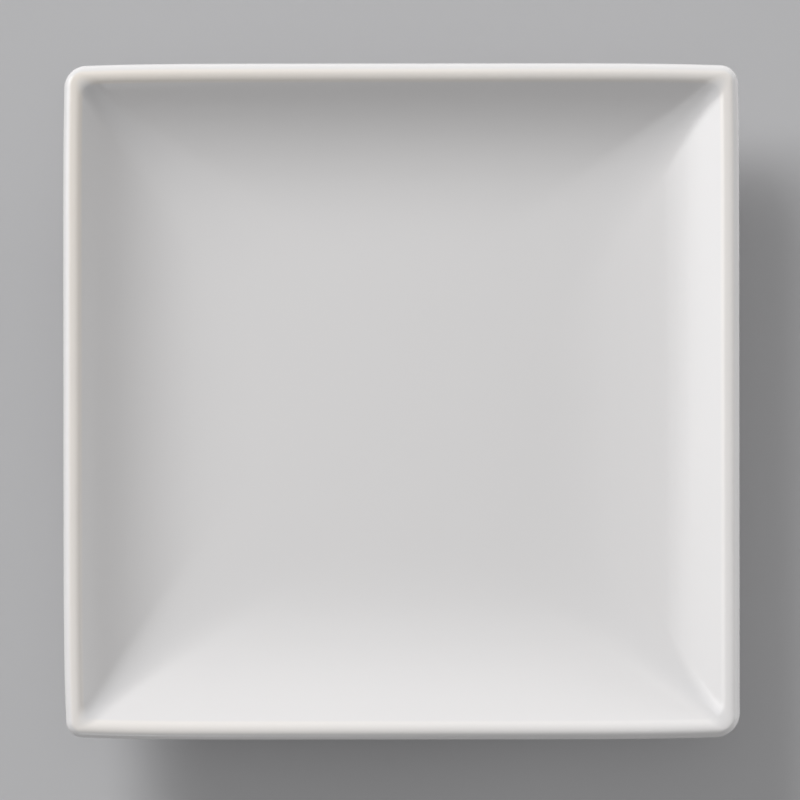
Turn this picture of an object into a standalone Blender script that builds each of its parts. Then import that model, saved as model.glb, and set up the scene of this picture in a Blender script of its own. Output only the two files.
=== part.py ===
"""A square porcelain plate with a rolled lip, a coved well and a square foot ring.

It has three pieces, as the plate is made: the biscuit body, the glaze fired over its face
and outer wall, and the glaze in the recess under it. The foot ring between the two glazes
is wiped bare, so that the plate doesn't stick to the kiln shelf.

Metres, +Z up. The origin is the middle of the foot ring, on the table.

The section of the plate is drawn in complex numbers: the distance from the middle of the
plate plus 1j times the height. Each of its points carries the angle at which the surface
faces there, with 0 outwards and a quarter turn up, and its corner radius in plan. A piece
is a stack of rounded squares, one for each point of its section.
"""

import cmath
import math
from collections import namedtuple

import bmesh
import bpy

# Outline in plan
SIDE = 0.140  # across the middle of two opposite sides
CORNER_RADIUS = 0.0044
SIDE_BOW = 0.0002  # how far a side swells between its corners

# Lip, wall and well
WELL_DEPTH = 0.0095  # crest of the lip to the floor of the well
WELL_RUN = 0.040  # foot of the lip's inner roll to the flat floor
WALL_SLOPE = math.radians(36)  # just below the lip
LIP_RADIUS = 0.0021  # outer roll
LIP_INNER_RADIUS = 0.0028  # inner roll, down to the wall
VALLEY_RADIUS = 0.0018  # inside corner just below the lip
VALLEY_FLARE = 0.5  # how fast the inside corner opens on its way to the floor
FLOOR_ROUNDING = 0.85  # most of its half width that an inside corner takes up

# Foot ring and recess
FLOOR_THICKNESS = 0.0041
FOOT_HEIGHT = 0.0024  # table to the ceiling of the recess
FOOT_INSET = 0.024  # edge of the plate to the foot's outer wall
FOOT_WIDTH = 0.0040
FOOT_CORNER_RADIUS = 0.010
FOOT_DRAFT = math.radians(14)
FOOT_EDGE_RADIUS = 0.0006
ROOT_FILLET = 0.0015  # reach of the fillet between the outer wall and the foot
RECESS_FILLET = 0.0010

# Glaze
GLAZE = 0.00025
GLAZE_LINE = 0.0009  # height above the table at which the glaze stops on the foot
BOND_GAP = 0.00003  # kept between the body and its glaze

# Finishes: colour and roughness
BISCUIT = (0.83, 0.80, 0.75), 0.7
FACE_GLAZE = (0.82, 0.81, 0.80), 0.08
BASE_GLAZE = (0.81, 0.80, 0.79), 0.12

# Facets
CORNER_STEPS = 8
SIDE_STEPS = 4
WELL_STEPS = 8
LIP_STEPS = 4
UNDER_STEPS = 5
EDGE_STEPS = 3
HALVINGS = 40
SHARP_EDGE = math.radians(40)

UP = math.pi / 2
DOWN = -UP
HALF = SIDE / 2
FLOOR_HEIGHT = FOOT_HEIGHT + FLOOR_THICKNESS
CREST_HEIGHT = FLOOR_HEIGHT + WELL_DEPTH
WALL_FACE = UP + WALL_SLOPE
FOOT_OUTER_FACE = -FOOT_DRAFT
FOOT_INNER_FACE = FOOT_DRAFT - math.pi

Station = namedtuple("Station", "point face corner")


def even(start, end, steps):
    """Evenly spaced values from start to end, both included."""
    return [start + (end - start) * i / steps for i in range(steps + 1)]


def arc(centre, radius, start, end, steps):
    """Points and facings along an arc of the section; a negative radius makes a hollow one."""
    return [(centre + cmath.rect(radius, face), face) for face in even(start, end, steps)]


def bend(start, corner, end, steps):
    """Points and facings on the smooth curve that leaves start for the corner and reaches end."""
    points = []
    for t in even(0, 1, steps):
        point = (1 - t) ** 2 * start + 2 * t * (1 - t) * corner + t**2 * end
        heading = (1 - t) * (corner - start) + t * (end - corner)
        points.append((point, cmath.phase(1j * heading)))
    return points


def lip_centre(radius):
    """The centre of a roll of the lip in section, straight below the crest."""
    return complex(HALF - LIP_RADIUS, CREST_HEIGHT - radius)


def well(slope):
    """The point where the wall has this slope, on its way from the lip down to the floor.

    The wall falls as a power of the way that is left to the floor. Its power is the one that
    leaves the lip at the wall's slope.
    """
    top = lip_centre(LIP_INNER_RADIUS) + cmath.rect(LIP_INNER_RADIUS, WALL_FACE)
    drop = top.imag - FLOOR_HEIGHT
    power = WELL_RUN * math.tan(WALL_SLOPE) / drop
    left = (math.tan(slope) / math.tan(WALL_SLOPE)) ** (1 / (power - 1))
    return complex(top.real - WELL_RUN * (1 - left), FLOOR_HEIGHT + drop * left**power)


def underside(slope):
    """The point under well(slope), at the thickness that the two rolls of the lip give the wall."""
    lean = math.cos(WALL_SLOPE)
    thickness = LIP_RADIUS * (1 + lean) + LIP_INNER_RADIUS * (1 - lean)
    return well(slope) - cmath.rect(thickness, UP + slope)


def inside_corner(point):
    """The corner radius in plan of the lip, and of the valley that opens below it."""
    inset = HALF - point.real
    roll = LIP_RADIUS + LIP_INNER_RADIUS * math.sin(WALL_SLOPE)
    valley = VALLEY_RADIUS + VALLEY_FLARE * (inset - roll)
    return max(CORNER_RADIUS - inset, min(valley, FLOOR_ROUNDING * point.real))


def outside_corner(point):
    """The corner radius in plan below the lip, easing from the lip's to the foot's."""
    inset = HALF - point.real
    return CORNER_RADIUS + (FOOT_CORNER_RADIUS - CORNER_RADIUS) * inset / FOOT_INSET


def foot_corner(point):
    """The corner radius in plan of the foot, whose outlines all share their corner centres."""
    return FOOT_CORNER_RADIUS - (HALF - FOOT_INSET - point.real)


def foot_wall(height):
    """The point of the foot's outer wall at this height."""
    return complex(HALF - FOOT_INSET + height * math.tan(FOOT_DRAFT), height)


def slope_beside_foot(gap):
    """The slope of the underside this far outside the foot's outer wall, found by halving."""
    low, high = 0, WALL_SLOPE
    for _ in range(HALVINGS):
        middle = (low + high) / 2
        point = underside(middle)
        if point.real - foot_wall(point.imag).real > gap:
            high = middle
        else:
            low = middle
    return high


def face_section():
    """The glazed face: out over the well and the wall, round the lip, and under to the foot."""
    root = underside(slope_beside_foot(0))
    fillet_end = foot_wall(root.imag - ROOT_FILLET * math.cos(FOOT_DRAFT))
    inner_roll = lip_centre(LIP_INNER_RADIUS)
    outer_roll = lip_centre(LIP_RADIUS)

    inside = [(well(slope), UP + slope) for slope in even(0, WALL_SLOPE, WELL_STEPS)]
    inside += arc(inner_roll, LIP_INNER_RADIUS, WALL_FACE, UP, LIP_STEPS)[1:]
    inside += arc(outer_roll, LIP_RADIUS, UP, 0, LIP_STEPS)[1:]
    outside = arc(outer_roll, LIP_RADIUS, 0, WALL_FACE - math.pi, LIP_STEPS)[1:]
    for slope in even(WALL_SLOPE, slope_beside_foot(ROOT_FILLET), UNDER_STEPS)[1:]:
        outside.append((underside(slope), slope - UP))
    outside += bend(outside[-1][0], root, fillet_end, EDGE_STEPS)[1:]
    outside.append((foot_wall(GLAZE_LINE), FOOT_OUTER_FACE))

    stations = [Station(p, face, inside_corner(p)) for p, face in inside]
    return stations + [Station(p, face, outside_corner(p)) for p, face in outside]


def recess_section():
    """The glazed recess: up the inner wall of the foot, and round the fillet to the ceiling."""
    wall_base = HALF - FOOT_INSET - FOOT_WIDTH
    start = complex(wall_base - GLAZE_LINE * math.tan(FOOT_DRAFT), GLAZE_LINE)
    fillet_height = FOOT_HEIGHT - RECESS_FILLET
    reach = (RECESS_FILLET + fillet_height * math.sin(FOOT_DRAFT)) / math.cos(FOOT_DRAFT)
    centre = complex(wall_base - reach, fillet_height)
    points = [(start, FOOT_INNER_FACE)]
    points += arc(centre, -RECESS_FILLET, FOOT_INNER_FACE, DOWN, EDGE_STEPS)
    return [Station(p, face, foot_corner(p)) for p, face in points]


def bare_foot_section():
    """The bare bearing face of the foot, with its two rounded edges."""
    skin = GLAZE / math.cos(FOOT_DRAFT)
    rounding = FOOT_EDGE_RADIUS * math.tan((UP - FOOT_DRAFT) / 2)
    outer = complex(HALF - FOOT_INSET - skin - rounding, FOOT_EDGE_RADIUS)
    inner = complex(HALF - FOOT_INSET - FOOT_WIDTH + skin + rounding, FOOT_EDGE_RADIUS)
    points = arc(outer, FOOT_EDGE_RADIUS, FOOT_OUTER_FACE, DOWN, EDGE_STEPS)
    points += arc(inner, FOOT_EDGE_RADIUS, DOWN, FOOT_INNER_FACE, EDGE_STEPS)
    return [Station(p, face, foot_corner(p)) for p, face in points]


def below(section, depth):
    """The same stretch of section, a depth below its surface. Its corners keep their centres."""
    sunk = []
    for point, face, corner in section:
        shift = cmath.rect(depth, face)
        sunk.append(Station(point - shift, face, corner - shift.real))
    return sunk


def glaze_edge(last, before):
    """The rounded edge where a glaze stops: half its thickness beyond its last glazed point."""
    ahead = last.point - before.point
    ahead *= GLAZE / 2 / abs(ahead)
    middle = below([last], GLAZE / 2)[0]
    return Station(middle.point + ahead, middle.face, middle.corner + ahead.real)


def glaze_shell(section):
    """The section of a glaze that ends on the foot: along its top, round its edge, and back under it."""
    edge = glaze_edge(section[-1], section[-2])
    return section + [edge] + below(section, GLAZE - BOND_GAP)[::-1]


def rounded_square(station):
    """The points of one loop: a rounded square whose sides swell a little between its corners."""
    half, height = station.point.real, station.point.imag
    flat = half - station.corner
    plan = []
    for quarter in range(4):
        turn = 1j**quarter
        for i in range(CORNER_STEPS + 1):
            spoke = cmath.rect(station.corner, UP * i / CORNER_STEPS)
            plan.append(turn * (complex(flat, flat) + spoke))
        for i in range(1, SIDE_STEPS):
            plan.append(turn * complex(flat - 2 * flat * i / SIDE_STEPS, half))
    swell = SIDE_BOW / HALF**3
    return [
        (p.real * (1 - swell * p.imag**2), p.imag * (1 - swell * p.real**2), height)
        for p in plan
    ]


def add_loop(bm, station):
    """Adds one loop of edges to the mesh."""
    verts = [bm.verts.new(point) for point in rounded_square(station)]
    return [bm.edges.new(pair) for pair in zip(verts, verts[1:] + verts[:1])]


def make_piece(name, section, material, parent):
    """A closed solid: loops along the section, bridged one to the next, with both ends filled."""
    bm = bmesh.new()
    loops = [add_loop(bm, station) for station in section]
    for loop, following in zip(loops, loops[1:]):
        bmesh.ops.bridge_loops(bm, edges=loop + following)
    for end in (loops[0], loops[-1]):
        bmesh.ops.contextual_create(bm, geom=end)
    bmesh.ops.recalc_face_normals(bm, faces=bm.faces)
    mesh = bpy.data.meshes.new(name)
    bm.to_mesh(mesh)
    bm.free()
    mesh.shade_smooth()
    mesh.set_sharp_from_angle(angle=SHARP_EDGE)
    mesh.materials.append(material)
    piece = bpy.data.objects.new(name, mesh)
    piece.parent = parent
    bpy.context.scene.collection.objects.link(piece)


def finish(name, colour, roughness):
    """A plain ceramic surface."""
    material = bpy.data.materials.new(name)
    material.use_nodes = True
    shader = material.node_tree.nodes["Principled BSDF"]
    shader.inputs["Base Color"].default_value = (*colour, 1)
    shader.inputs["Roughness"].default_value = roughness
    shader.inputs["Metallic"].default_value = 0
    return material


def clear_scene():
    for old in list(bpy.data.objects):
        bpy.data.objects.remove(old, do_unlink=True)


def main():
    clear_scene()
    plate = bpy.data.objects.new("square_plate", None)
    bpy.context.scene.collection.objects.link(plate)

    face = face_section()
    recess = recess_section()
    body = below(face, GLAZE) + bare_foot_section() + below(recess, GLAZE)

    biscuit = finish("bare_porcelain", *BISCUIT)
    white_glaze = finish("white_glaze", *FACE_GLAZE)
    recess_glaze = finish("recess_glaze", *BASE_GLAZE)

    make_piece("porcelain_body", body, biscuit, plate)
    make_piece("face_glaze", glaze_shell(face), white_glaze, plate)
    make_piece("base_glaze", glaze_shell(recess[::-1]), recess_glaze, plate)


main()
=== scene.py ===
"""The looks of a square porcelain plate: its glazes, its bare foot and a plain studio.

The plate's section is drawn in complex numbers: the distance from the middle of the plate
plus 1j times the height. Each point of it also has the angle at which the surface faces
there, with 0 outwards and a quarter turn up, and a corner radius in plan. A surface is
the section carried round a rounded square.
"""

import math
from collections import namedtuple

import bpy
import numpy as np
from bpy.props import FloatProperty, FloatVectorProperty, PointerProperty
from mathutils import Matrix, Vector


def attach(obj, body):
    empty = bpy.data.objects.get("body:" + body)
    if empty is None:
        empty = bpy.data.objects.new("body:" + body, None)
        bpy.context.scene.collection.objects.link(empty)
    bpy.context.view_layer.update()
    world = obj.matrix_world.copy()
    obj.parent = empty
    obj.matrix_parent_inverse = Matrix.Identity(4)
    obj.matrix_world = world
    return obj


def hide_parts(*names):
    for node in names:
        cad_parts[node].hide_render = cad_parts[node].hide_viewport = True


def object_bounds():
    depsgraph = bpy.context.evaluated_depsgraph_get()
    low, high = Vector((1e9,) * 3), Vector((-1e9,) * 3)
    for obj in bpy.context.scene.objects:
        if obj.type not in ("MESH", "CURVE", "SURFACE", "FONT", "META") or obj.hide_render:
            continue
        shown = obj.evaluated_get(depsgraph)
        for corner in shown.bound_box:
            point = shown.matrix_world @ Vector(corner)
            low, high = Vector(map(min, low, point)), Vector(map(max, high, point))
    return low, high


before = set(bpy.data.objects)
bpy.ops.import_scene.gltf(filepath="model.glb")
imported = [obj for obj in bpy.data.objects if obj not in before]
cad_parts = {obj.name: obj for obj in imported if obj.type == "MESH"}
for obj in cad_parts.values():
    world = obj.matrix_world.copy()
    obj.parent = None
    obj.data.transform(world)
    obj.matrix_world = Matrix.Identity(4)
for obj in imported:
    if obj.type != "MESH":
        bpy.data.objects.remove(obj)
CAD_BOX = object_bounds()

bl_info = {
    "name": "Square Plate",
    "version": (1, 0, 0),
    "blender": (4, 5, 0),
    "location": "3D View > Sidebar > Plate",
    "description": "Glazes a square porcelain plate and lights it for a picture from above",
    "category": "Add Mesh",
}

UP = math.pi / 2
DOWN = -UP
CERAMIC_IOR = 1.5

# Steps along the stretches of the section
FLOOR_STEPS = 20
WELL_STEPS = 56
INNER_ROLL_STEPS = 16
OUTER_ROLL_STEPS = 24
UNDER_ROLL_STEPS = 16
UNDERSIDE_STEPS = 32
ROOT_STEPS = 8
FOOT_WALL_STEPS = 3
FOOT_EDGE_STEPS = 8
BEARING_STEPS = 8
RECESS_FILLET_STEPS = 12
RECESS_STEPS = 24
BEAD_STEPS = 8

# Points tried on the underside to find where it meets the foot
ROOT_TRIES = 400

# Steps round a corner and along a side
CORNER_STEPS = 20
SIDE_STEPS = 28
CORNER_TURN = np.linspace(0, UP, CORNER_STEPS + 1)
SIDE_SHARE = (1 - np.cos(np.linspace(0, math.pi, SIDE_STEPS + 1)[1:-1])) / 2

Section = namedtuple("Section", "point face corner")


def length(name, description, default):
    """A size in metres."""
    return FloatProperty(
        name=name,
        description=description,
        default=default,
        precision=5,
        subtype="DISTANCE",
        unit="LENGTH",
    )


def angle(name, description, degrees):
    """An angle, given in degrees and kept in radians."""
    return FloatProperty(
        name=name,
        description=description,
        default=math.radians(degrees),
        subtype="ANGLE",
        unit="ROTATION",
    )


def amount(name, description, default):
    """A plain number."""
    return FloatProperty(name=name, description=description, default=default, precision=4)


def at_corners(name, description, default):
    """A size in metres for each corner, from the one at +X +Y anticlockwise."""
    return FloatVectorProperty(
        name=name, description=description, default=default, size=4, precision=5, unit="LENGTH"
    )


def colour(name, description, default):
    """A linear colour."""
    return FloatVectorProperty(
        name=name, description=description, default=default, size=3, subtype="COLOR"
    )


class PlateShape(bpy.types.PropertyGroup):
    """Sizes of the plate."""

    side: length("Side", "Across the middle of two opposite sides", CAD_BOX[1].x - CAD_BOX[0].x)
    height: length("Height", "Table to the crest of the lip", CAD_BOX[1].z - CAD_BOX[0].z)
    corner_radius: length("Corner radius", "Of the tightest corner in plan", 0.0030)
    corner_extra: at_corners(
        "Corner extra", "How much rounder each corner is", (0.0004, 0.0013, 0, 0.0019)
    )
    give_x: at_corners(
        "Give along X", "How far each corner is drawn in along X", (0.00036, 0.0004, 0.00071, 0)
    )
    give_y: at_corners(
        "Give along Y", "How far each corner is drawn in along Y", (0.0006, 0.00066, 0.0007, 0.0006)
    )
    give_power: amount("Give power", "How close to the corners the sides start to give way", 6)
    lip_dip: length("Lip dip", "How far the lip sags between its corners", 0.00015)

    well_depth: length("Well depth", "Crest of the lip to the floor of the well", 0.0095)
    well_run: length("Well run", "Foot of the lip's inner roll to the flat floor", 0.040)
    wall_slope: angle("Wall slope", "Just below the lip", 36)
    lip_radius: length("Lip radius", "Outer roll of the lip", 0.0021)
    lip_inner_radius: length("Inner lip radius", "Inner roll of the lip", 0.0028)
    valley_radius: length("Valley radius", "Inside corner just below the lip", 0.0032)
    valley_flare: amount("Valley flare", "How fast the inside corner opens towards the floor", 0.55)
    valley_ease: amount(
        "Valley ease", "How gently the steep wall bends into its corners, 0 for an arc", 0.6
    )

    foot_height: length("Foot height", "Table to the ceiling of the recess", 0.0024)
    foot_inset: length("Foot inset", "Edge of the plate to the foot's outer wall", 0.024)
    foot_width: length("Foot width", "Across the foot ring at the table", 0.0040)
    foot_corner_radius: length("Foot corner radius", "Of the foot in plan", 0.010)
    foot_draft: angle("Foot draft", "Lean of the foot's two walls", 14)
    foot_edge_radius: length("Foot edge radius", "Rounding of the bare bearing face", 0.0006)
    root_fillet: length("Root fillet", "Between the outer wall and the foot", 0.0015)
    recess_fillet: length("Recess fillet", "Between the foot's inner wall and the ceiling", 0.0010)

    glaze: length("Glaze", "Thickness of the glaze", 0.00025)
    glaze_line: length("Glaze line", "Height above the table at which the glaze stops", 0.0009)
    bond_gap: length("Bond gap", "Kept between the body and its glaze", 0.00003)


class PlateLook(bpy.types.PropertyGroup):
    """Colours and finish of the plate."""

    glaze_colour: colour("Glaze", "White glaze over the face", (0.750, 0.738, 0.738))
    # Over the lip the thin colour is used towards the upper left and the crest colour towards the lower
    # right.
    thin_colour: colour("Thin glaze", "Where the glaze has run off the lip", (0.845, 0.787, 0.720))
    crest_colour: colour("Crest", "Glaze over the lip where it hasn't run off", (0.800, 0.787, 0.785))
    # Painted shade: this darker colour darkens the steep corner valleys, partly as pooled glaze; inside
    # the foot ring it only tints random clouds of thicker glaze.
    pooled_glaze_and_shade_colour: colour("Pooled glaze", "Where the glaze lies thick", (0.705, 0.697, 0.701))
    recess_colour: colour("Recess glaze", "Glaze inside the foot ring", (0.745, 0.733, 0.728))
    biscuit_colour: colour("Biscuit", "Bare fired porcelain", (0.78, 0.73, 0.66))
    scuff_colour: colour("Scuffs", "Grey marks on the bearing face", (0.48, 0.46, 0.44))
    speck_colour: colour("Specks", "Faint specks in the glaze", (0.60, 0.57, 0.53))
    gloss: amount("Roughness", "Of the glaze", 0.13)


class PlateStage(bpy.types.PropertyGroup):
    """Floor, light and camera."""

    floor_colour: colour("Floor", "Plain pale floor", (0.56, 0.56, 0.57))
    key: amount("Key", "Light of the softbox at the upper left, in W/m2", 2.89)
    fill: amount("Fill", "Light of the softbox at the upper right, in W/m2", 0.5)
    edge: amount("Edge", "Light of the strip on the floor at the right, in W/m2", 0.75)
    ambient: amount("Ambient", "Light from all round", 0.388)
    ceiling: amount("Ceiling", "Brightness of the ceiling that the glaze mirrors", 1.47)
    left_panel: amount("Left panel", "Brightness of the panel that the right wall mirrors", 5.2)
    front_panel: amount("Front panel", "Brightness of the panel that the upper wall mirrors", 0.8)
    front_card: amount(
        "Front card", "Brightness of the low card that the upper wall's left end mirrors", 2.6
    )
    right_panel: amount("Right panel", "Brightness of the panel that the left wall mirrors", 1.4)
    back_panel: amount("Back panel", "Brightness of the panel that the lower wall mirrors", 0.7)
    camera_height: length("Camera height", "Above the table", 1.0)


def arc(centre, radius, start, end, steps):
    """Points and facings along an arc: the centre plus the radius at evenly spaced facings.

    A negative radius makes a hollow arc.
    """
    face = np.linspace(start, end, steps + 1)
    return centre + radius * np.exp(1j * face), face


def straight(start, end, face, steps):
    """Evenly spaced points along a line, all with the same facing."""
    return np.linspace(start, end, steps + 1), np.full(steps + 1, face)


def bend(start, corner, end, steps):
    """A quadratic curve from start to end that leaves and arrives along the lines to the corner."""
    t = np.linspace(0, 1, steps + 1)
    point = (1 - t) ** 2 * start + 2 * t * (1 - t) * corner + t**2 * end
    heading = (1 - t) * (corner - start) + t * (end - corner)
    return point, np.angle(1j * heading)


def lip_centre(shape, radius):
    """The centre of a roll of the lip in section, a radius straight below the crest."""
    return complex(shape.side / 2 - shape.lip_radius, shape.height - radius)


def lip_breadth(shape):
    """From the edge of the plate in to the foot of the lip's inner roll."""
    return shape.lip_radius + shape.lip_inner_radius * math.sin(shape.wall_slope)


def floor_height(shape):
    """The floor of the well: the height of the lip's crest less the depth."""
    return shape.height - shape.well_depth


def well(shape, left):
    """The wall between the floor, where left is 0, and the lip's inner roll, where it is 1.

    left is the share of the run that lies inside a point. The height over the floor is the
    whole drop times left to a power, the power that meets the roll at the wall's slope.
    """
    face = UP + shape.wall_slope
    top = lip_centre(shape, shape.lip_inner_radius) + shape.lip_inner_radius * np.exp(1j * face)
    drop = top.imag - floor_height(shape)
    power = shape.well_run * math.tan(shape.wall_slope) / drop
    half = top.real - shape.well_run * (1 - left)
    slope = np.arctan(math.tan(shape.wall_slope) * left ** (power - 1))
    return half + 1j * (floor_height(shape) + drop * left**power), UP + slope


def underside(shape, left):
    """The wall's outside: its inside, moved square to it by the thickness that the lip's rolls give."""
    lean = math.cos(shape.wall_slope)
    thickness = shape.lip_radius * (1 + lean) + shape.lip_inner_radius * (1 - lean)
    point, face = well(shape, left)
    return point - thickness * np.exp(1j * face), face - math.pi


def inside_corner(shape, point):
    """Corner radius of the lip, and of the valley below it.

    The valley's grows with the inset up to the foot of the lip. From there on it is the root of
    the sum of two squares: of the radius there, and of the flare times the run past there.
    """
    inset = shape.side / 2 - point.real
    run = inset - lip_breadth(shape)
    start = shape.valley_radius * np.minimum(inset / lip_breadth(shape), 1)
    valley = np.hypot(start, shape.valley_flare * np.maximum(run, 0))
    return np.maximum(shape.corner_radius - inset, valley)


def outside_corner(shape, point):
    """Corner radius below the lip, easing from the lip's to the foot's."""
    inset = shape.side / 2 - point.real
    growth = shape.foot_corner_radius - shape.corner_radius
    return shape.corner_radius + growth * inset / shape.foot_inset


def foot_corner(shape, point):
    """Corner radius of the foot, whose outlines all share their corner centres."""
    return shape.foot_corner_radius - (shape.side / 2 - shape.foot_inset - point.real)


def foot_wall(shape, height):
    """The foot's outer wall at this height."""
    return shape.side / 2 - shape.foot_inset + height * math.tan(shape.foot_draft) + 1j * height


def chain(*stretches):
    """Stretches of (points, facings) laid end to end; each but the first gives up its first point."""
    points = [stretch[0][min(i, 1):] for i, stretch in enumerate(stretches)]
    faces = [stretch[1][min(i, 1):] for i, stretch in enumerate(stretches)]
    return np.concatenate(points), np.concatenate(faces)


def face_section(shape):
    """The glazed face: from the middle of the well over the lip, and under to the foot."""
    inner_roll = lip_centre(shape, shape.lip_inner_radius)
    outer_roll = lip_centre(shape, shape.lip_radius)
    wall_face = UP + shape.wall_slope

    floor_edge = well(shape, np.zeros(1))[0][0]
    share = np.linspace(0, 1, FLOOR_STEPS + 1)
    floor = floor_edge.real * share + 1j * floor_edge.imag
    wall, wall_faces = chain(
        well(shape, np.linspace(0, 1, WELL_STEPS + 1)),
        arc(inner_roll, shape.lip_inner_radius, wall_face, UP, INNER_ROLL_STEPS),
        arc(outer_roll, shape.lip_radius, UP, 0, OUTER_ROLL_STEPS),
    )

    left = np.linspace(0, 1, ROOT_TRIES)
    under = underside(shape, left)[0]
    gap = under.real - foot_wall(shape, under.imag).real
    at_root, at_fillet = np.interp([0, shape.root_fillet], gap, left)
    root = underside(shape, np.array([at_root]))[0][0]
    fillet_start = underside(shape, np.array([at_fillet]))[0][0]
    fillet_end = foot_wall(shape, root.imag - shape.root_fillet * math.cos(shape.foot_draft))
    glaze_end = foot_wall(shape, shape.glaze_line)
    outside, outside_faces = chain(
        arc(outer_roll, shape.lip_radius, 0, wall_face - math.pi, UNDER_ROLL_STEPS),
        underside(shape, np.linspace(1, at_fillet, UNDERSIDE_STEPS + 1)),
        bend(fillet_start, root, fillet_end, ROOT_STEPS),
        straight(fillet_end, glaze_end, -shape.foot_draft, FOOT_WALL_STEPS),
    )

    point = np.concatenate([floor[1:-1], wall, outside[1:]])
    face = np.concatenate([np.full(FLOOR_STEPS - 1, UP), wall_faces, outside_faces[1:]])
    floor_corner = inside_corner(shape, floor_edge) * share[1:-1]
    wall_corner = inside_corner(shape, wall)
    under_corner = outside_corner(shape, outside[1:])
    return Section(point, face, np.concatenate([floor_corner, wall_corner, under_corner]))


def recess_section(shape):
    """The glazed recess: up the inner wall of the foot, round the fillet and in to the middle."""
    wall_base = shape.side / 2 - shape.foot_inset - shape.foot_width
    inner_face = shape.foot_draft - math.pi
    start = complex(wall_base - shape.glaze_line * math.tan(shape.foot_draft), shape.glaze_line)
    fillet_height = shape.foot_height - shape.recess_fillet
    lean = fillet_height * math.sin(shape.foot_draft)
    reach = (shape.recess_fillet + lean) / math.cos(shape.foot_draft)
    centre = complex(wall_base - reach, fillet_height)
    fillet = arc(centre, -shape.recess_fillet, inner_face, DOWN, RECESS_FILLET_STEPS)
    wall = straight(start, fillet[0][0], inner_face, FOOT_WALL_STEPS)
    point, face = chain(wall, fillet)
    share = np.linspace(1, 0, RECESS_STEPS + 1)[1:-1]
    ceiling = point[-1].real * share + 1j * shape.foot_height
    corner = foot_corner(shape, point)
    return Section(
        np.concatenate([point, ceiling]),
        np.concatenate([face, np.full(share.size, DOWN)]),
        np.concatenate([corner, corner[-1] * share]),
    )


def bare_foot_section(shape):
    """The bare bearing face of the foot, with its two rounded edges."""
    radius = shape.foot_edge_radius
    skin = shape.glaze / math.cos(shape.foot_draft)
    rounding = radius * math.tan((UP - shape.foot_draft) / 2)
    outside = shape.side / 2 - shape.foot_inset
    outer = complex(outside - skin - rounding, radius)
    inner = complex(outside - shape.foot_width + skin + rounding, radius)
    outer_edge = arc(outer, radius, -shape.foot_draft, DOWN, FOOT_EDGE_STEPS)
    inner_edge = arc(inner, radius, DOWN, shape.foot_draft - math.pi, FOOT_EDGE_STEPS)
    bearing = straight(outer_edge[0][-1], inner_edge[0][0], DOWN, BEARING_STEPS)
    point, face = chain(outer_edge, bearing, inner_edge)
    return Section(point, face, foot_corner(shape, point))


def below(section, depth):
    """The same section a depth under its surface; its corners keep their centres."""
    shift = depth * np.exp(1j * section.face)
    return Section(section.point - shift, section.face, section.corner - shift.real)


def bead(section, thickness, ahead):
    """The round edge where a glaze stops: half a turn about the middle of its thickness.

    It starts from the section's end, swings over in the direction ahead and ends on the
    bond side.
    """
    end = Section(*(values[-1] for values in section))
    radius = thickness / 2
    centre = end.point - radius * np.exp(1j * end.face)
    swing = np.linspace(0, math.pi, BEAD_STEPS + 1)[1:-1]
    offset = radius * (np.cos(swing) * np.exp(1j * end.face) + np.sin(swing) * ahead / abs(ahead))
    point = centre + offset
    return Section(point, np.angle(offset), end.corner + (point - end.point).real)


def joined(*sections):
    """Sections laid end to end."""
    return Section(*(np.concatenate(values) for values in zip(*sections)))


def backwards(section):
    """The same section from its end to its start."""
    return Section(*(values[::-1] for values in section))


def glaze_shell(shape, section):
    """A closed glaze: its top from the middle to its edge on the foot, the bead, and back under it."""
    ahead = section.point[-1] - section.point[-2]
    thickness = shape.glaze - shape.bond_gap
    edge = bead(section, thickness, ahead)
    return joined(section, edge, backwards(below(section, thickness)))


def steepness(shape, section):
    """0 on the floor and outside the crest, up to 1 where the wall is steepest."""
    return np.clip((section.face - UP) / shape.wall_slope, 0, 1)


def rounded_squares(shape, section):
    """The section carried round the plate, as an array of sections by points round by x, y, z.

    In each quarter a corner is a superellipse about (flat, flat), where flat is the half width
    less the corner's reach, and the side after it runs on to the next corner. Both are then
    turned by as many quarter turns. The power is 2, for an arc, and more on the steep wall.
    Its reach grows with the power, so that the corner stays where the arc has its middle.
    What a corner has extra fades out over the breadth of the lip.
    """
    half = section.point.real[:, None]
    fade = np.clip(1 - (shape.side / 2 - half) / lip_breadth(shape), 0, 1)
    power = 2 + shape.valley_ease * steepness(shape, section)[:, None]
    reach = (1 - 2 ** (-1 / 2)) / (1 - 2 ** (-1 / power))
    corner = (section.corner[:, None] + np.array(shape.corner_extra) * fade) * reach
    flat = half - corner
    next_flat = np.roll(flat, -1, axis=1)

    waves = np.clip([np.cos(CORNER_TURN), np.sin(CORNER_TURN)], 0, 1)
    across, up = waves[:, None, None] ** (2 / power[..., None])
    arcs = flat[..., None] * (1 + 1j) + corner[..., None] * (across + 1j * up)
    sides = flat[..., None] - (flat + next_flat)[..., None] * SIDE_SHARE + 1j * half[..., None]
    quarters = np.concatenate([arcs, sides], axis=2) * (1j ** np.arange(4))[:, None]
    plan = quarters.reshape(len(half), -1)
    height = np.broadcast_to(section.point.imag[:, None], plan.shape)
    return fired(shape, np.stack([plan.real, plan.imag, height], axis=-1))


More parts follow.
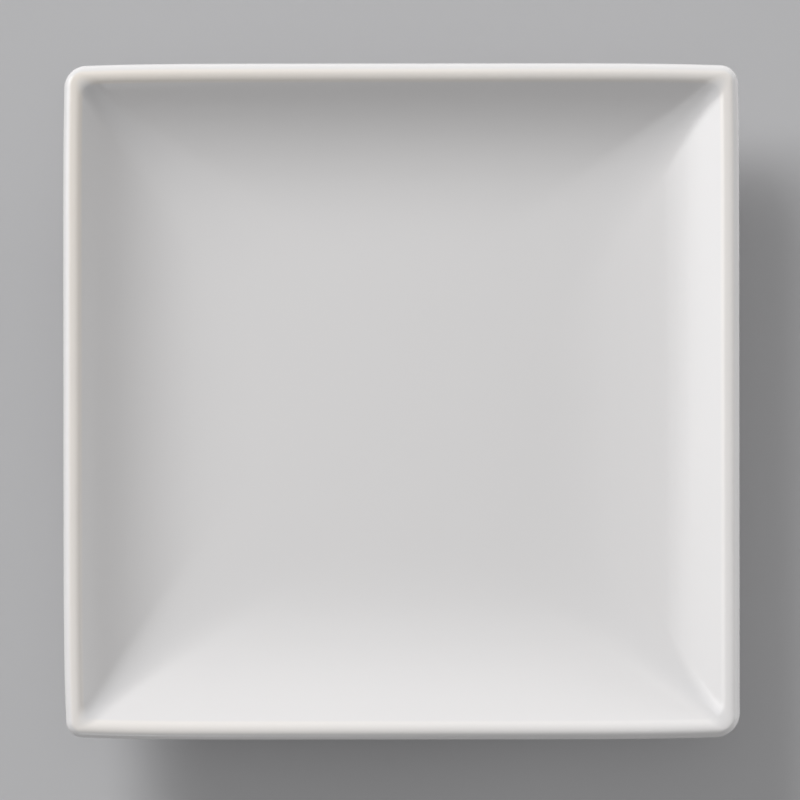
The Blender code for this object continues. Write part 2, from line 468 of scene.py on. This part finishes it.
def fired(shape, points):
    """The points as the kiln leaves them.

    Each corner is drawn in by its own amounts, shared out over the plate in proportion to x
    and y. Along X a side gives way by a power of y, and along Y by the same power of x. The
    height sags by the square of x2 - y2, most in the middle of a side and not at a corner.
    """
    middle = shape.side / 2
    x, y, z = np.moveaxis(points / [middle, middle, 1], -1, 0)
    right, left, back, front = 1 + x, 1 - x, 1 + y, 1 - y
    share = np.stack([right * back, left * back, left * front, right * front], axis=-1) / 4
    give_x = share @ np.array(shape.give_x) * np.abs(y) ** shape.give_power
    give_y = share @ np.array(shape.give_y) * np.abs(x) ** shape.give_power
    sag = shape.lip_dip / shape.height * (x**2 - y**2) ** 2
    return np.stack([x * (middle - give_x), y * (middle - give_y), z * (1 - sag)], axis=-1)


def run_off(section, loops):
    """How far the glaze has run off the lip: how fast the facing turns there, in radians per metre.

    It fades out down the outside, where the facing nears gone_at, and a bell curve of this
    spread blurs it along the section.
    """
    gone_at = math.radians(58)
    fade = math.radians(18)
    spread = 0.0005
    step = np.abs(np.diff(section.point))
    along = np.concatenate([[0], np.cumsum(step)])
    turning = -np.gradient(np.unwrap(section.face), along)
    turning *= np.clip((section.face - gone_at) / fade, 0, 1)
    weight = np.exp(-(((along[:, None] - along) / spread) ** 2) / 2) * np.gradient(along)
    turning = weight @ turning / weight.sum(axis=1)
    return np.broadcast_to(turning[:, None], loops.shape[:2])


def pooled_glaze_and_shade(shape, section):
    """How much the corner valleys are darkened, from 0 to 1: partly glaze pooled there, partly painted
    shade in the creases.

    It is the steepness, times the square of the sine of twice the turn round each corner.
    """
    corner = np.sin(2 * CORNER_TURN) ** 2
    quarter = np.append(corner, np.zeros(SIDE_SHARE.size))
    return steepness(shape, section)[:, None] * np.tile(quarter, 4)


def skin(name, loops, finish, values=None):
    """A closed mesh over the loops, with a fan at each end, as a piece that rides on the plate.

    The first and last loops close on points in the middle of the plate, at their heights.
    """
    rows, around = loops.shape[:2]
    poles = np.zeros((2, 3))
    poles[:, 2] = loops[[0, -1], :, 2].mean(axis=1)
    vertices = np.concatenate([loops.reshape(-1, 3), poles])

    here = np.arange(rows * around).reshape(rows, around)
    beside = np.roll(here, -1, axis=1)
    quads = np.stack([here[:-1], here[1:], beside[1:], beside[:-1]], axis=-1).reshape(-1, 4)
    first, last = rows * around, rows * around + 1
    first_fan = np.stack([np.full(around, first), here[0], beside[0]], axis=-1)
    last_fan = np.stack([np.full(around, last), beside[-1], here[-1]], axis=-1)

    mesh = bpy.data.meshes.new(name)
    mesh.from_pydata(vertices.tolist(), [], quads.tolist() + first_fan.tolist() + last_fan.tolist())
    mesh.shade_smooth()
    for attribute, value in (values or {}).items():
        layer = mesh.attributes.new(attribute, "FLOAT", "POINT")
        at_poles = [value[0].mean(), value[-1].mean()]
        layer.data.foreach_set("value", np.append(value.ravel(), at_poles).astype("f"))
    mesh.materials.append(finish)
    piece = bpy.data.objects.new(name, mesh)
    bpy.context.scene.collection.objects.link(piece)
    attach(piece, "root")
    return piece


class Value:
    """A number in a shader; arithmetic with it adds Math nodes."""

    def __init__(self, finish, socket):
        self.finish = finish
        self.socket = socket

    def math(self, operation, *terms):
        """A Math node on the terms, in their order."""
        sockets = dict(enumerate(terms))
        return self.finish.node("ShaderNodeMath", {"operation": operation}, sockets)

    def __add__(self, other):
        return self.math("ADD", self, other)

    __radd__ = __add__

    def __sub__(self, other):
        return self.math("SUBTRACT", self, other)

    def __rsub__(self, other):
        return self.math("SUBTRACT", other, self)

    def __mul__(self, other):
        return self.math("MULTIPLY", self, other)

    __rmul__ = __mul__

    def __truediv__(self, other):
        return self.math("DIVIDE", self, other)

    def __rtruediv__(self, other):
        return self.math("DIVIDE", other, self)

    def step(self, low, high):
        """0 up to low, 1 from high on, and smooth between."""
        settings = {"interpolation_type": "SMOOTHSTEP"}
        sockets = {"Value": self, "From Min": low, "From Max": high}
        return self.finish.node("ShaderNodeMapRange", settings, sockets)


class Finish:
    """A material on the Principled shader, built up node by node."""

    def __init__(self, name):
        self.material = bpy.data.materials.new(name)
        self.material.use_nodes = True
        self.tree = self.material.node_tree
        self.shader = self.tree.nodes["Principled BSDF"]
        self.place = self.node("ShaderNodeTexCoord", output="Object")

    def node(self, kind, settings=None, sockets=None, output=0):
        """Adds a node: its settings first, then the values or links of its sockets.

        Gives one of its outputs.
        """
        made = self.tree.nodes.new(kind)
        for key, value in (settings or {}).items():
            setattr(made, key, value)
        for key, value in (sockets or {}).items():
            self.feed(made.inputs[key], value)
        return Value(self, made.outputs[output])

    def feed(self, socket, value):
        """Links a value to a socket, or sets a constant on it."""
        if isinstance(value, Value):
            self.tree.links.new(value.socket, socket)
        elif socket.type == "RGBA":
            socket.default_value = (*value, 1)
        else:
            socket.default_value = value

    def attribute(self, name):
        """A value stored at the mesh's vertices."""
        return self.node("ShaderNodeAttribute", {"attribute_name": name}, {}, "Fac")

    def noise(self, size, detail=2.0):
        """Smooth noise, about 0.5 in the middle, with bumps of about this size in metres."""
        sockets = {"Vector": self.place, "Scale": 1 / size, "Detail": detail}
        return self.node("ShaderNodeTexNoise", {}, sockets)

    def dots(self, spacing, radius, share):
        """Round dots in a share of the cells of this spacing, 1 in their middle and 0 outside."""
        core = 0.4 * radius
        sockets = {"Vector": self.place, "Scale": 1 / spacing}
        distance = self.node("ShaderNodeTexVoronoi", {}, sockets, "Distance")
        cell = self.node("ShaderNodeTexVoronoi", {}, sockets, "Color")
        chance = self.node("ShaderNodeSeparateColor", {}, {"Color": cell}, "Red")
        present = chance.math("LESS_THAN", chance, share)
        return (1 - distance.step(core / spacing, radius / spacing)) * present

    def mix(self, factor, first, second):
        """A colour between two. The node has sockets of the same name, so they go by number."""
        return self.node("ShaderNodeMix", {"data_type": "RGBA"}, {0: factor, 6: first, 7: second}, 2)

    def bump(self, height, distance):
        """A normal from a height between 0 and 1, worth this distance in metres."""
        return self.node("ShaderNodeBump", {}, {"Height": height, "Distance": distance})

    def set(self, **sockets):
        """Sets the shader's sockets; a name's underscores stand for spaces."""
        for key, value in sockets.items():
            self.feed(self.shader.inputs[key.replace("_", " ")], value)
        return self.material


def upper_left_share(finish, side):
    """0 at the +X -Y corner of the plate up to 1 at the -X +Y corner."""
    sockets = {"Vector": finish.place}
    x, y = (finish.node("ShaderNodeSeparateXYZ", {}, sockets, axis) for axis in "XY")
    return 0.5 + (y - x) / (2 * side)


def face_glaze_finish(look, side):
    """White glaze, creamier towards the upper left where it has run off the lip, with painted shade in
    the corner valleys, faint specks and a slight ripple.
    """
    cloud_strength = 0.08
    speck_strength = 0.35
    fine_ripple = 0.25
    unevenness = 0.05
    finish = Finish("white_glaze")
    # Over the lip the glaze is creamier towards the upper left and neutral towards the lower right.
    crest = finish.mix(upper_left_share(finish, side), look.crest_colour, look.thin_colour)
    thin = finish.attribute("run_off").step(low=100, high=380)
    tint = finish.mix(thin, look.glaze_colour, crest)
    clouds = finish.noise(size=0.018, detail=3).step(low=0.35, high=0.75)
    # Painted shade: the corner valleys, partly pooled glaze, and random clouds of thicker glaze turn
    # the colour darker.
    thickness_and_shade = finish.attribute("pooled_glaze_and_shade") + clouds * cloud_strength
    tint = finish.mix(thickness_and_shade, tint, look.pooled_glaze_and_shade_colour)
    specks = finish.dots(spacing=0.013, radius=0.00022, share=0.35)
    tint = finish.mix(specks * speck_strength, tint, look.speck_colour)
    ripple = finish.noise(size=0.0035) + finish.noise(size=0.0011, detail=1) * fine_ripple
    return finish.set(
        Base_Color=tint,
        Roughness=look.gloss + unevenness * (finish.noise(size=0.006, detail=3) - 0.5),
        IOR=CERAMIC_IOR,
        Normal=finish.bump(ripple, distance=0.000012),
    )


def recess_glaze_finish(look):
    """Glaze on the underside: the same white, rippled more and a little less even."""
    cloud_strength = 0.35
    speck_strength = 0.5
    gloss = 0.14
    unevenness = 0.06
    finish = Finish("recess_glaze")
    clouds = finish.noise(size=0.012, detail=3).step(low=0.3, high=0.75)
    tint = finish.mix(clouds * cloud_strength, look.recess_colour, look.pooled_glaze_and_shade_colour)
    specks = finish.dots(spacing=0.009, radius=0.00025, share=0.4)
    tint = finish.mix(specks * speck_strength, tint, look.speck_colour)
    return finish.set(
        Base_Color=tint,
        Roughness=gloss + unevenness * (finish.noise(size=0.005, detail=3) - 0.5),
        IOR=CERAMIC_IOR,
        Normal=finish.bump(finish.noise(size=0.004), distance=0.00003),
    )


def biscuit_finish(look):
    """Bare fired porcelain: matt and fine-grained, with grey scuffs where it slides on tables."""
    scuff_strength = 0.6
    matt = 0.72
    unevenness = 0.15
    finish = Finish("bare_porcelain")
    grain = finish.noise(size=0.0003, detail=4)
    marks = finish.noise(size=0.002, detail=4).step(low=0.55, high=0.8)
    scuffs = marks * finish.noise(size=0.011).step(low=0.4, high=0.65)
    return finish.set(
        Base_Color=finish.mix(scuffs * scuff_strength, look.biscuit_colour, look.scuff_colour),
        Roughness=matt + unevenness * (grain - 0.5),
        IOR=CERAMIC_IOR,
        Normal=finish.bump(grain, distance=0.00002),
    )


class PLATE_OT_biscuit(bpy.types.Operator):
    """Makes the fired body, which shows as the bare foot ring"""

    bl_idname = "plate.biscuit"
    bl_label = "Biscuit Body"

    def execute(self, context):
        shape = context.scene.plate_shape
        face = below(face_section(shape), shape.glaze)
        recess = below(recess_section(shape), shape.glaze)
        section = joined(face, bare_foot_section(shape), recess)
        loops = rounded_squares(shape, section)
        piece = skin("biscuit_body", loops, biscuit_finish(context.scene.plate_look))
        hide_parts("porcelain_body")
        return {"FINISHED"}


class PLATE_OT_face_glaze(bpy.types.Operator):
    """Glazes the well, the lip and the outside down to the foot"""

    bl_idname = "plate.face_glaze"
    bl_label = "Face Glaze"

    def execute(self, context):
        shape = context.scene.plate_shape
        section = glaze_shell(shape, face_section(shape))
        loops = rounded_squares(shape, section)
        # The second attribute holds the corner valleys' painted shade, partly pooled glaze.
        values = {"run_off": run_off(section, loops), "pooled_glaze_and_shade": pooled_glaze_and_shade(shape, section)}
        finish = face_glaze_finish(context.scene.plate_look, shape.side)
        piece = skin("glazed_face", loops, finish, values)
        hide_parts("face_glaze")
        return {"FINISHED"}


class PLATE_OT_recess_glaze(bpy.types.Operator):
    """Glazes the recess inside the foot ring"""

    bl_idname = "plate.recess_glaze"
    bl_label = "Recess Glaze"

    def execute(self, context):
        shape = context.scene.plate_shape
        shell = glaze_shell(shape, backwards(recess_section(shape)))
        loops = rounded_squares(shape, backwards(shell))
        piece = skin("glazed_recess", loops, recess_glaze_finish(context.scene.plate_look))
        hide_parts("base_glaze")
        return {"FINISHED"}


# Metres from the plate to the lights
FAR = 4.0

# Boxes of a panel, and the metres between them
BOXES = 5
BOX_GAP = 0.1

# A light's angles are in degrees, and so are its width and height, as the plate sees them
Light = namedtuple("Light", "azimuth elevation width height softness", defaults=(0,))

PANELS = {
    "ceiling": Light(azimuth=75, elevation=88, width=52, height=71, softness=1.1),
    "left_panel": Light(azimuth=163.5, elevation=22.5, width=30, height=43, softness=1.1),
    "front_panel": Light(azimuth=259, elevation=42, width=13, height=44, softness=1.3),
    "front_card": Light(azimuth=261.5, elevation=14, width=14, height=18, softness=0.6),
    "right_panel": Light(azimuth=353, elevation=17, width=14, height=24, softness=0.8),
    "back_panel": Light(azimuth=90, elevation=45, width=8, height=44, softness=1.2),
}


def softboxes(shape):
    """The softboxes by name; the edge light is a strip on the floor, as tall as the plate."""
    rim = math.degrees(math.atan(shape.height / FAR))
    return {
        "key": Light(azimuth=128, elevation=25, width=34, height=18),
        "fill": Light(azimuth=26, elevation=6, width=24, height=10),
        "edge": Light(azimuth=14, elevation=rim / 2, width=24, height=rim),
    }


def area_lamp(name, light, distance):
    """A rectangular lamp on the sphere of this radius about the plate, turned to the middle."""
    lamp = bpy.data.lights.new(name, "AREA")
    lamp.shape = "RECTANGLE"
    lamp.size = 2 * distance * math.tan(math.radians(light.width / 2))
    lamp.size_y = 2 * distance * math.tan(math.radians(light.height / 2))
    box = bpy.data.objects.new(name, lamp)
    bpy.context.scene.collection.objects.link(box)
    azimuth, elevation = math.radians(light.azimuth), math.radians(light.elevation)
    across = math.cos(elevation)
    towards = Vector((math.cos(azimuth) * across, math.sin(azimuth) * across, math.sin(elevation)))
    box.location = towards * distance
    box.rotation_euler = towards.to_track_quat("Z", "Y").to_euler()
    return box


def softbox(name, light, irradiance):
    """A lamp whose light falls on the plate, in W/m2, and that its gloss doesn't mirror."""
    box = area_lamp(name, light, FAR)
    box.data.energy = irradiance * math.pi * FAR**2
    box.visible_glossy = False


def panel(name, light, radiance):
    """A panel that only the gloss sees: boxes one in another, each a little further away.

    Softness is the share of the width and the height over which the panel's edges fade.
    """
    scales = 1 + light.softness * np.linspace(-0.5, 0.5, BOXES)
    for i, scale in enumerate(scales):
        size = light._replace(width=light.width * scale, height=light.height * scale)
        box = area_lamp(name, size, FAR + i * BOX_GAP)
        box.data.energy = radiance / BOXES * math.pi * box.data.size * box.data.size_y
        box.visible_diffuse = False


class PLATE_OT_stage(bpy.types.Operator):
    """Makes the floor, the studio light and the camera above the plate"""

    bl_idname = "plate.stage"
    bl_label = "Stage"

    def execute(self, context):
        scene = context.scene
        stage = scene.plate_stage
        self.floor(stage)
        for name, light in softboxes(scene.plate_shape).items():
            softbox(name, light, getattr(stage, name))
        for name, light in PANELS.items():
            panel(name, light, getattr(stage, name))
        scene.world = bpy.data.worlds.new("studio")
        scene.world.use_nodes = True
        background = scene.world.node_tree.nodes["Background"].inputs
        background["Color"].default_value = (1, 1, 1, 1)
        background["Strength"].default_value = stage.ambient
        scene.view_settings.view_transform = "Standard"
        self.camera(scene)
        return {"FINISHED"}

    def floor(self, stage):
        """A matt square on the table's level, past the lights."""
        reach = 6.0
        finish = Finish("pale_floor")
        mesh = bpy.data.meshes.new("floor")
        corners = [(-reach, -reach, 0), (reach, -reach, 0), (reach, reach, 0), (-reach, reach, 0)]
        mesh.from_pydata(corners, [], [(0, 1, 2, 3)])
        matt = finish.set(Base_Color=stage.floor_colour, Roughness=0.9, Specular_IOR_Level=0.1)
        mesh.materials.append(matt)
        floor = bpy.data.objects.new("floor", mesh)
        bpy.context.scene.collection.objects.link(floor)

    def camera(self, scene):
        """A camera straight above the plate.

        The plate's side spans plate_pixels of the image's width, and its middle lies at centre,
        in pixels from the upper left corner of the image.
        """
        shape, stage = scene.plate_shape, scene.plate_stage
        image_width = 800
        plate_pixels = 676.2
        centre = (401.4, 401.5)
        roll = math.radians(-0.06)
        camera = bpy.data.cameras.new("camera")
        camera.sensor_width = 36
        distance = stage.camera_height - (shape.height - shape.lip_radius)
        camera.lens = camera.sensor_width * distance * plate_pixels / image_width / shape.side
        camera.shift_x = (image_width / 2 - centre[0]) / image_width
        camera.shift_y = (centre[1] - image_width / 2) / image_width
        camera.clip_end = 100
        holder = bpy.data.objects.new("camera", camera)
        holder.location = (0, 0, stage.camera_height)
        holder.rotation_euler = (0, 0, roll)
        scene.collection.objects.link(holder)
        scene.camera = holder


class PLATE_PT_sidebar(bpy.types.Panel):
    """Lists the plate's pieces and sizes"""

    bl_label = "Square Plate"
    bl_idname = "PLATE_PT_sidebar"
    bl_space_type = "VIEW_3D"
    bl_region_type = "UI"
    bl_category = "Plate"

    def draw(self, context):
        for operator in OPERATORS:
            self.layout.operator(operator.bl_idname)
        for name in GROUPS:
            box = self.layout.box()
            group = getattr(context.scene, name)
            for key in group.bl_rna.properties.keys():
                if key not in {"rna_type", "name"}:
                    box.prop(group, key)


OPERATORS = (PLATE_OT_biscuit, PLATE_OT_face_glaze, PLATE_OT_recess_glaze, PLATE_OT_stage)
GROUPS = {"plate_shape": PlateShape, "plate_look": PlateLook, "plate_stage": PlateStage}
CLASSES = (*GROUPS.values(), *OPERATORS, PLATE_PT_sidebar)


def register():
    """Registers the classes and puts the three groups of settings on the scene."""
    for kind in CLASSES:
        bpy.utils.register_class(kind)
    for name, group in GROUPS.items():
        setattr(bpy.types.Scene, name, PointerProperty(type=group))


def unregister():
    """Takes the settings off the scene and the classes out again."""
    for name in GROUPS:
        delattr(bpy.types.Scene, name)
    for kind in reversed(CLASSES):
        bpy.utils.unregister_class(kind)


def main():
    """Makes the pieces and the stage."""
    register()
    bpy.ops.plate.biscuit()
    bpy.ops.plate.face_glaze()
    bpy.ops.plate.recess_glaze()
    bpy.ops.plate.stage()


if __name__ == "__main__":
    main()
